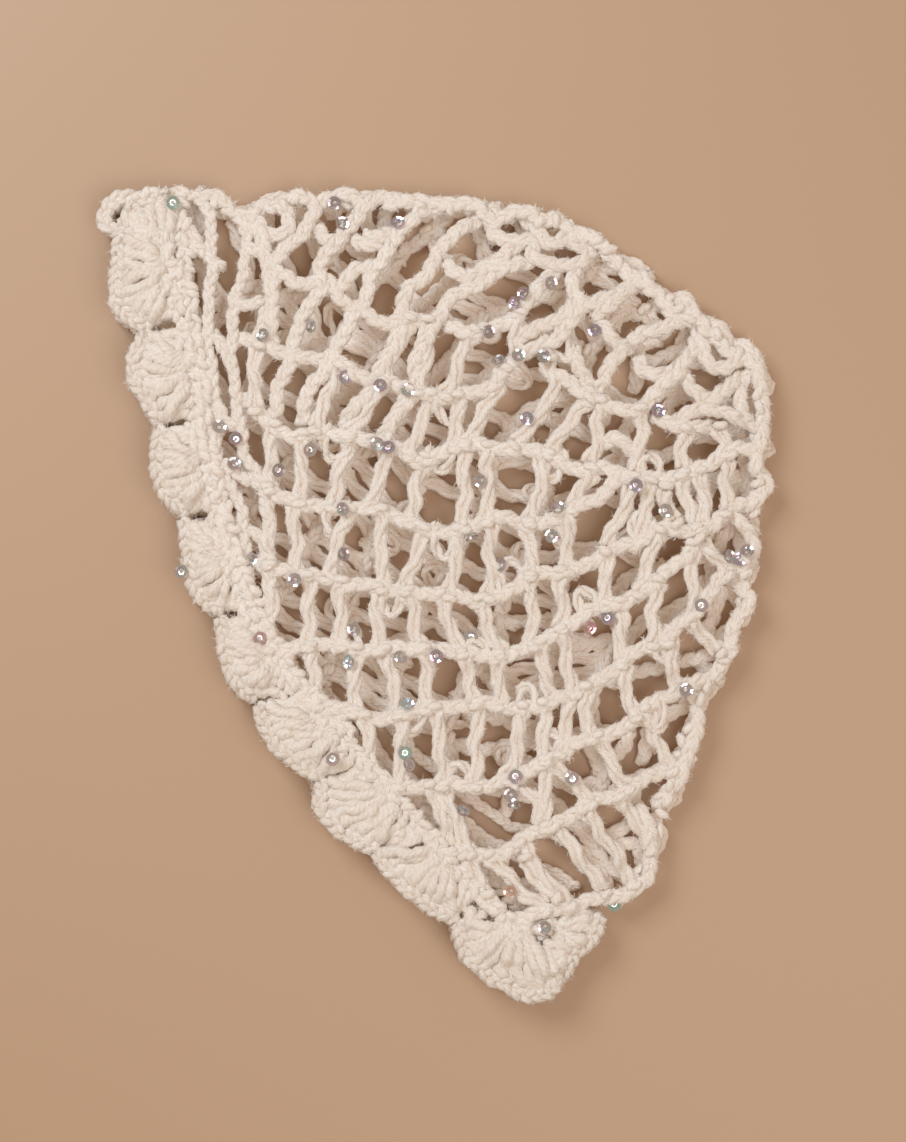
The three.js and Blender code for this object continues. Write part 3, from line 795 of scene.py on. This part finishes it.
def fanShell(skein, shell, base, outwards):
    # outwards moves the edge away from the hub, for the layer that peeps out from under the other
    hub = fromChart([shell["hub"]])[0]
    rim = evenly(smooth(fromChart(shell["rim"])), fanForm["spacing"])
    share = np.linspace(-0.5, 0.5, len(rim))
    rim = rim + unit(rim - hub) * (outwards - fanForm["inset"] * np.cos(share * 2.4))[:, None]
    brimWay = unit(rim[-1] - rim[0])
    rootHeight, crownHeight, pastCrown, tipHeight = np.array(fanForm["heights"]) + base
    for i, tip in enumerate(rim):
        root = hub + brimWay * share[i] * fanForm["rootSpread"] + unit(tip - hub) * 0.6
        bend = brimWay * rng.uniform(-1.1, 1.1)
        dome = rng.uniform(-0.7, 0.6)
        stops = [
            [*root, rootHeight], [*(root * 0.65 + tip * 0.35 + bend), crownHeight + dome],
            [*(root * 0.34 + tip * 0.66 + bend), pastCrown + dome], [*(root * 0.1 + tip * 0.9), tipHeight],
        ]
        # the fan stitches are painted darker: painted shade
        rope(skein, smooth(stops), fan, flare=0.2, narrow=0.45, paintedLightAndTone=-0.4)
    # low stitches at both ends
    chord = np.linalg.norm(rim[-1] - rim[0])
    for end, hand in ((0, -1), (-1, 1)):
        knob(skein, rim[end] * 0.93 + hub * 0.07, unit(rim[end] - hub), base + 2.4, 1.1)
        for reach, low in ((0.28, 1.2), (0.42, 0.8)):
            root = hub + brimWay * hand * chord * reach
            tip = rim[end] * 0.88 + hub * 0.12
            middle = (root + tip) / 2
            stops = [[*root, base + low + 0.4], [*middle, base + low + 1.2], [*tip, base + low]]
            rope(skein, smooth(stops), fan, paintedLightAndTone=-0.4)
    # chains along the edge and under the tips
    edge = smooth(rim, 4)
    heights = base + 2.6 + 0.6 * np.sin(lengthsAlong(edge) * 2 * math.pi / fanForm["spacing"])
    # the outer chain is painted darker too: painted shade
    rope(skein, np.column_stack([edge, heights]), edging, paintedLightAndTone=-0.3)
    inner = smooth(rim * 0.84 + hub * 0.16, 4)
    rope(skein, np.column_stack([inner, np.full(len(inner), base + 1.7)]), edging)
    if "loop" in shell:
        loop = smooth(fromChart(shell["loop"]))
        rope(skein, np.column_stack([loop, np.full(len(loop), base + 2.3)]), edging)
    # lumps of yarn over the roots
    outWay = unit(rim.mean(axis=0) - hub)
    for _ in range(fanForm["knobs"]):
        aside = rng.uniform(-0.5, 0.5)
        spot = hub + brimWay * aside * chord + outWay * rng.uniform(-2.5, 2.5)
        if "plain" in shell and abs(aside) > 0.2:
            continue
        knob(skein, spot, unit(rng.normal(0, 1, 2)), base + 3.6 - 3.2 * abs(aside), rng.uniform(0.85, 1.1))


# the shells get little painted glow, so they read darker: painted shade
shellYarn = {"sides": 6, "glow": 0.1}
for layer, outwards in (("under", 0.9), ("top", 0)):
    for number in range(1, 10):
        node = f"brim_shell_{layer}_{number}"
        skein = Skein(**shellYarn)
        fanShell(skein, shellChart[str(number)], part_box(node)[0].z / mm, outwards)
        skein.piece(f"shell_{layer}_{number}", [node], "edging_yarn", cottonYarn)
        brimSkeins.append(skein)
for corner in ("corner_left", "corner_right"):
    skein = Skein(**shellYarn)
    for base in (0, underside["folded"] + 1):
        fanShell(skein, shellChart[corner], base, 0)
    skein.piece(f"shell_{corner}", [f"brim_shell_{corner}"], "edging_yarn", cottonYarn)
    brimSkeins.append(skein)


# Loose fibres that stand off the yarn
fibreLook = {"width": 0.09, "shortest": 0.7, "longest": 1.9, "onNet": 52000, "onBrim": 34000}


def fibreMaterial():
    material, wire = newMaterial("cottonFibre")
    place = wire.node("TexCoord", {}, {}, 3)
    cloud = wire.node("TexNoise", {}, {"Vector": place, "Scale": 300.0, "Detail": 2.0})
    surface(wire, {
        "Base Color": wire.mixColour(cloud, yarnLook["pale"], (1, 1, 1, 1)), "Roughness": 0.7,
        "Specular IOR Level": 0.25,
    })
    return material


def looseFibres(name, skeins, count, material):
    roots = np.concatenate([part for skein in skeins for part in skein.points])
    outs = np.concatenate([part for skein in skeins for part in skein.outs])
    ways = np.concatenate([part for skein in skeins for part in skein.ways])
    facing = np.flatnonzero((outs[:, 2] > -0.2) & (roots[:, 2] > 1.5))
    chosen = rng.choice(facing, count)
    root, out, way = roots[chosen], outs[chosen], ways[chosen]
    length = rng.uniform(fibreLook["shortest"], fibreLook["longest"], (count, 1))
    away = unit(out * rng.uniform(0.3, 1.0, (count, 1)) + way * rng.choice([-1, 1], (count, 1))
                + rng.normal(0, 0.4, (count, 3)))
    bend = unit(rng.normal(0, 1, (count, 3)) - out * 0.6)
    low, middle = root - out * 0.1, root + away * length * 0.5
    tip = root + (away * 0.9 + bend * 0.5) * length
    width = unit(np.cross(away, [0, 0, 1])) * fibreLook["width"] / 2
    points = np.stack([low - width, low + width, middle - width * 0.9, middle + width * 0.9, tip], axis=1)
    points[..., 2] = np.maximum(points[..., 2], 0.1)
    first = np.arange(count)[:, None, None] * 5
    faces = (first + np.array([[0, 1, 3], [0, 3, 2], [2, 3, 4]])).reshape(-1, 3)
    joinedMesh(name, points.reshape(-1, 3), faces, material)


cottonFibre = fibreMaterial()
looseFibres("loose_fibres_net", netSkeins, fibreLook["onNet"], cottonFibre)
looseFibres("loose_fibres_brim", brimSkeins, fibreLook["onBrim"], cottonFibre)


# Cup sequins: the rings go outwards from the hole, each with its radius and its rise from the one before
sequinForm = {"hole": 0.55, "sides": 10, "rings": [(0.95, 0.05), (1.35, 0.7), (2.05, 0.25)], "wall": 0.12}


def sequinMaterial():
    material, wire = newMaterial("clearSequin")
    tint = wire.node("Attribute", {"attribute_name": "tint"}, {}, 0)
    place = wire.node("TexCoord", {}, {}, 3)
    play = wire.node("TexNoise", {}, {"Vector": place, "Scale": 700.0, "Detail": 1.0})
    rainbow = [(0.38, (1, 0.70, 0.82)), (0.62, (0.66, 0.96, 0.88)), (0.5, (1, 1, 1))]
    pearl = wire.node("ValToRGB", {"stops": rainbow}, {0: play})
    surface(wire, {
        "Base Color": wire.mixColour(0.32, tint, pearl), "Metallic": 0.75, "Roughness": 0.13,
        "Coat Weight": 1.0, "Coat Roughness": 0.04, "Alpha": 0.8,
    })
    return material


def oneSequin():
    # a ring of edges drawn out into a cup with a hole, and given its wall
    bpy.ops.object.select_all(action="DESELECT")
    bpy.ops.mesh.primitive_circle_add(vertices=sequinForm["sides"], radius=sequinForm["hole"] * mm)
    cup = bpy.context.object
    bpy.ops.object.mode_set(mode="EDIT")
    bpy.ops.mesh.select_all(action="SELECT")
    radius = sequinForm["hole"]
    for wider, rise in sequinForm["rings"]:
        bpy.ops.mesh.extrude_edges_move(TRANSFORM_OT_translate={"value": (0, 0, rise * mm)})
        grow = wider / radius
        bpy.ops.transform.resize(value=(grow, grow, 1), center_override=(0, 0, 0))
        radius = wider
    bpy.ops.mesh.select_all(action="SELECT")
    bpy.ops.mesh.normals_make_consistent(inside=False)
    bpy.ops.object.mode_set(mode="OBJECT")
    shellWall = cup.modifiers.new("wall", "SOLIDIFY")
    shellWall.thickness = sequinForm["wall"] * mm
    shellWall.offset = 0
    bpy.ops.object.modifier_apply(modifier="wall")
    return cup


def carrier():
    # the yarn of the top layer, to seat the sequins on
    points, faces = [], []
    for obj in bpy.data.objects:
        if obj.name.endswith("_top") or obj.name.startswith(("shell_top", "shell_corner")):
            start = len(points)
            points.extend(v.co.copy() for v in obj.data.vertices)
            faces.extend([start + i for i in p.vertices] for p in obj.data.polygons)
    return BVHTree.FromPolygons(points, faces)


# Where a sequin may land: rings round its charted place with the tries on each, and the height that
# only yarn of the top layer reaches
landing = {"rings": ((0, 1), (0.8, 6), (1.6, 8), (2.4, 10)), "topLayer": 7.5}


def seat(tree, flat):
    # the highest yarn within reach of a charted place, and which way it faces
    best = None
    for ring, count in landing["rings"]:
        for i in range(count):
            turn = 2 * math.pi * i / count
            x, y = flat[0] + ring * math.cos(turn), flat[1] + ring * math.sin(turn)
            hit, normal, face, gap = tree.ray_cast(Vector((x, y, 40)) * mm, Vector((0, 0, -1)))
            if hit and hit.z > landing["topLayer"] * mm:
                return hit, normal
            if hit and (best is None or hit.z > best[0].z):
                best = (hit, normal)
    return best or tree.find_nearest(Vector((*flat, 14)) * mm)[:2]


cup = oneSequin()
tree = carrier()
sequinPieces = []
for colour, places in sequinChart.items():
    for flat in fromChart(places):
        hit, normal = seat(tree, flat)
        copy = cup.copy()
        copy.data = cup.data.copy()
        bpy.context.collection.objects.link(copy)
        lean = (normal + Vector((rng.uniform(-0.5, 0.5), rng.uniform(-0.5, 0.5), 1.1))).normalized()
        turned = lean.to_track_quat("Z", "Y").to_matrix().to_4x4()
        copy.data.transform(Matrix.Translation(hit + lean * 0.25 * mm) @ turned)
        tint = copy.data.attributes.new("tint", "FLOAT_COLOR", "POINT")
        clear = rng.uniform(0, 0.5)  # some take on more of the yarn's light than others
        shade = (*(np.array(gleam[colour]) * (1 - clear) + 0.9 * clear), 1)
        tint.data.foreach_set("color", np.tile(shade, len(copy.data.vertices)).astype(np.float32))
        sequinPieces.append(copy)
bpy.data.objects.remove(cup)
bpy.ops.object.select_all(action="DESELECT")
for copy in sequinPieces:
    copy.select_set(True)
bpy.context.view_layer.objects.active = sequinPieces[0]
bpy.ops.object.join()
sequins = bpy.context.object
sequins.name = "sequins"
sequins.data.materials.append(sequinMaterial())
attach(sequins, "root")
print("sequins", len(sequinPieces))

# Floor, light and camera. The picture is measured in pixels, the scale in millimetres to a pixel, and
# the square of the chart in pixels
photo = {"width": 906, "height": 1142, "scale": 0.29, "square": 10}
turn = chart["turn"]
right = Vector((math.cos(turn), math.sin(turn), 0))
up = Vector((-math.sin(turn), math.cos(turn), 0))
centre = fromChart([(photo["width"] / 2 / photo["square"], photo["height"] / 2 / photo["square"])])[0]
target = Vector((*centre, 10)) * mm

bpy.ops.object.select_all(action="DESELECT")
bpy.ops.mesh.primitive_plane_add(size=6, location=(target.x, target.y, 0))
floor = bpy.context.object
floor.name = "floor"
floorMaterial, wire = newMaterial("plainFloor")
surface(wire, {"Base Color": (0.472, 0.294, 0.169, 1), "Roughness": 0.6, "IOR": 2.2})
floor.data.materials.append(floorMaterial)

# Lights, with their places from the hat in metres: to the right of the picture, up it, and above it
lights = {
    "key": {"right": -0.56, "up": 0.6, "above": 0.92,
            "size": 0.6, "power": 7.5, "colour": (0.875, 0.95, 1)},
    "fill": {"right": 0.45, "up": -0.35, "above": 1.3,
             "size": 0.9, "power": 6.4, "colour": (1, 0.96, 0.92)},
}
for name, lamp in lights.items():
    data = bpy.data.lights.new(name, "AREA")
    data.size = lamp["size"]
    data.energy = lamp["power"]
    data.color = lamp["colour"]
    light = bpy.data.objects.new(name, data)
    bpy.context.collection.objects.link(light)
    away = right * lamp["right"] + up * lamp["up"] + Vector((0, 0, lamp["above"]))
    light.location = target + away
    light.rotation_euler = (-away).to_track_quat("-Z", "Y").to_euler()

world = bpy.data.worlds.new("studio")
bpy.context.scene.world = world
world.use_nodes = True
background = world.node_tree.nodes["Background"]
background.inputs["Color"].default_value = (1, 0.75, 0.52, 1)
background.inputs["Strength"].default_value = 0.42
print("studio set")

cameraData = bpy.data.cameras.new("camera")
cameraData.lens = 85
cameraData.sensor_width = 36
camera = bpy.data.objects.new("camera", cameraData)
bpy.context.collection.objects.link(camera)
distance = photo["height"] * photo["scale"] * cameraData.lens / cameraData.sensor_width * mm
camera.location = target + Vector((0, 0, distance))
camera.rotation_euler = Euler((0, 0, turn))
bpy.context.scene.camera = camera
bpy.context.scene.view_settings.view_transform = "Standard"
